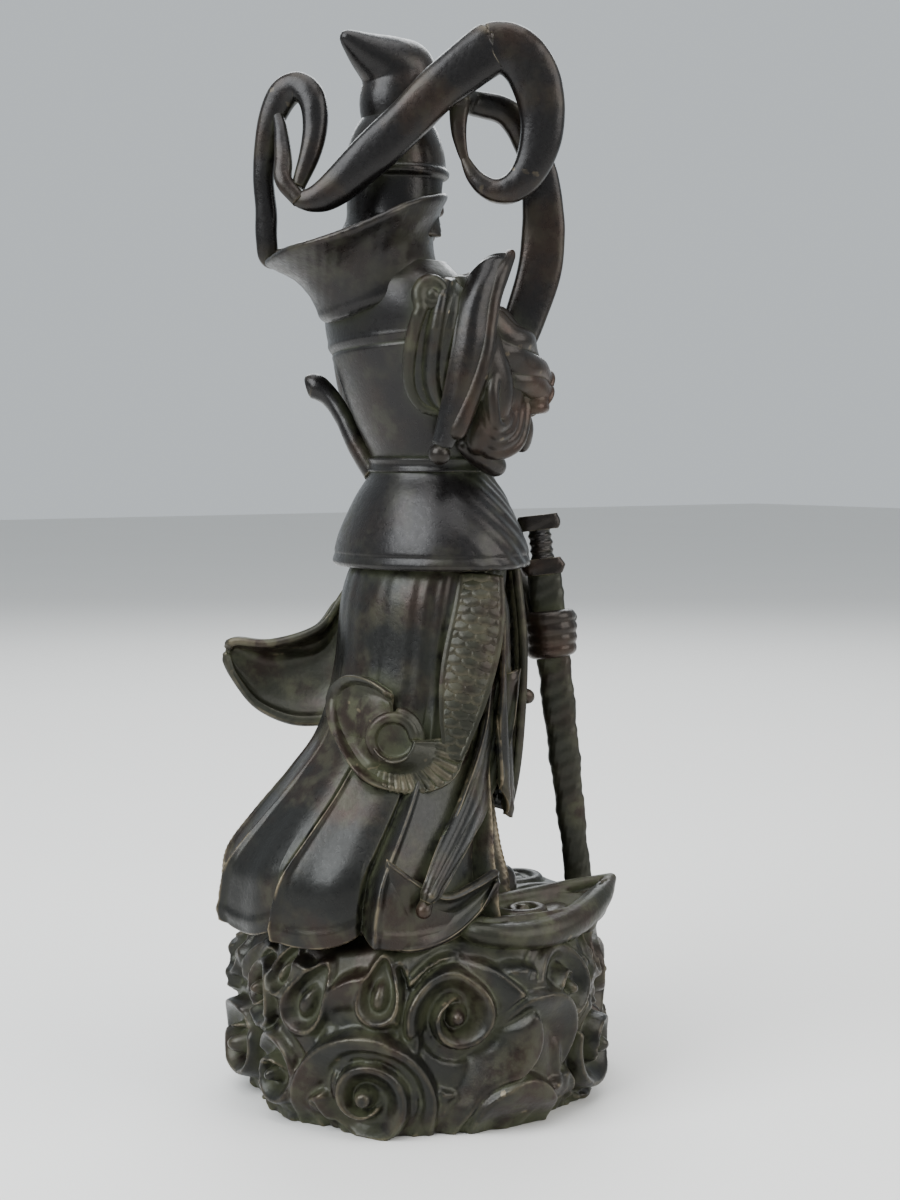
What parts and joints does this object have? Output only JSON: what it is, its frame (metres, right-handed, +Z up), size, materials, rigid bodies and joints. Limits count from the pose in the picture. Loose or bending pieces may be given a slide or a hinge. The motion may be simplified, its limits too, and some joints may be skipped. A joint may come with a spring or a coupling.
{
  "type": "bronze statuette",
  "caption": "Armoured guardian figure in dark bronze on a swirling cloud base, with a looping scarf and a long sword that lifts out of its fist.",
  "frame": {"origin": "centre of the base's underside", "axes": "+Z up, the figure faces -Y and its right hand is on the -X side"},
  "size_m": [0.078, 0.08, 0.2054],
  "materials": {
    "dark_bronze": "dark patinated bronze, semi-gloss",
    "green_bronze": "bronze with olive patina in the recesses",
    "worn_bronze": "bronze rubbed bright on its edges",
    "steel": "plain"
  },
  "bodies": {
    "statuette": {"cloud_base": "dark_bronze", "cloud_scroll": "green_bronze", "base_stud": "steel", "base_washer": "steel", "base_nut": "steel", "lower_robe": "green_bronze", "right_boot": "dark_bronze", "left_boot": "dark_bronze", "hip_skirt": "dark_bronze", "belt": "worn_bronze", "belt_buckle": "worn_bronze", "right_hip_scroll": "green_bronze", "left_hip_flap": "green_bronze", "right_thigh_guard": "green_bronze", "left_thigh_guard": "green_bronze", "apron_panel": "green_bronze", "torso": "dark_bronze", "neck_guard": "dark_bronze", "neck_pin": "steel", "head": "dark_bronze", "helmet": "dark_bronze", "helmet_finial": "worn_bronze", "right_shoulder_guard": "green_bronze", "left_shoulder_guard": "green_bronze", "shoulder_pins": "steel", "right_sleeve": "dark_bronze", "left_sleeve": "dark_bronze", "right_hand": "worn_bronze", "left_hand": "worn_bronze", "left_sleeve_ribbon": "dark_bronze", "scarf_left_loop": "dark_bronze", "scarf_cross_band": "dark_bronze", "scarf_right_loop": "dark_bronze", "scarf_tail": "dark_bronze"},
    "sword": {"sword_blade": "green_bronze", "sword_guard": "worn_bronze", "sword_grip": "dark_bronze", "sword_pommel": "worn_bronze"}
  },
  "joints": [
    {"name": "sword_lift", "type": "slide", "parent": "statuette", "child": "sword", "axis": [0.0817, 0.0819, 0.9933], "range_m": [0, 0.066]}
  ]
}
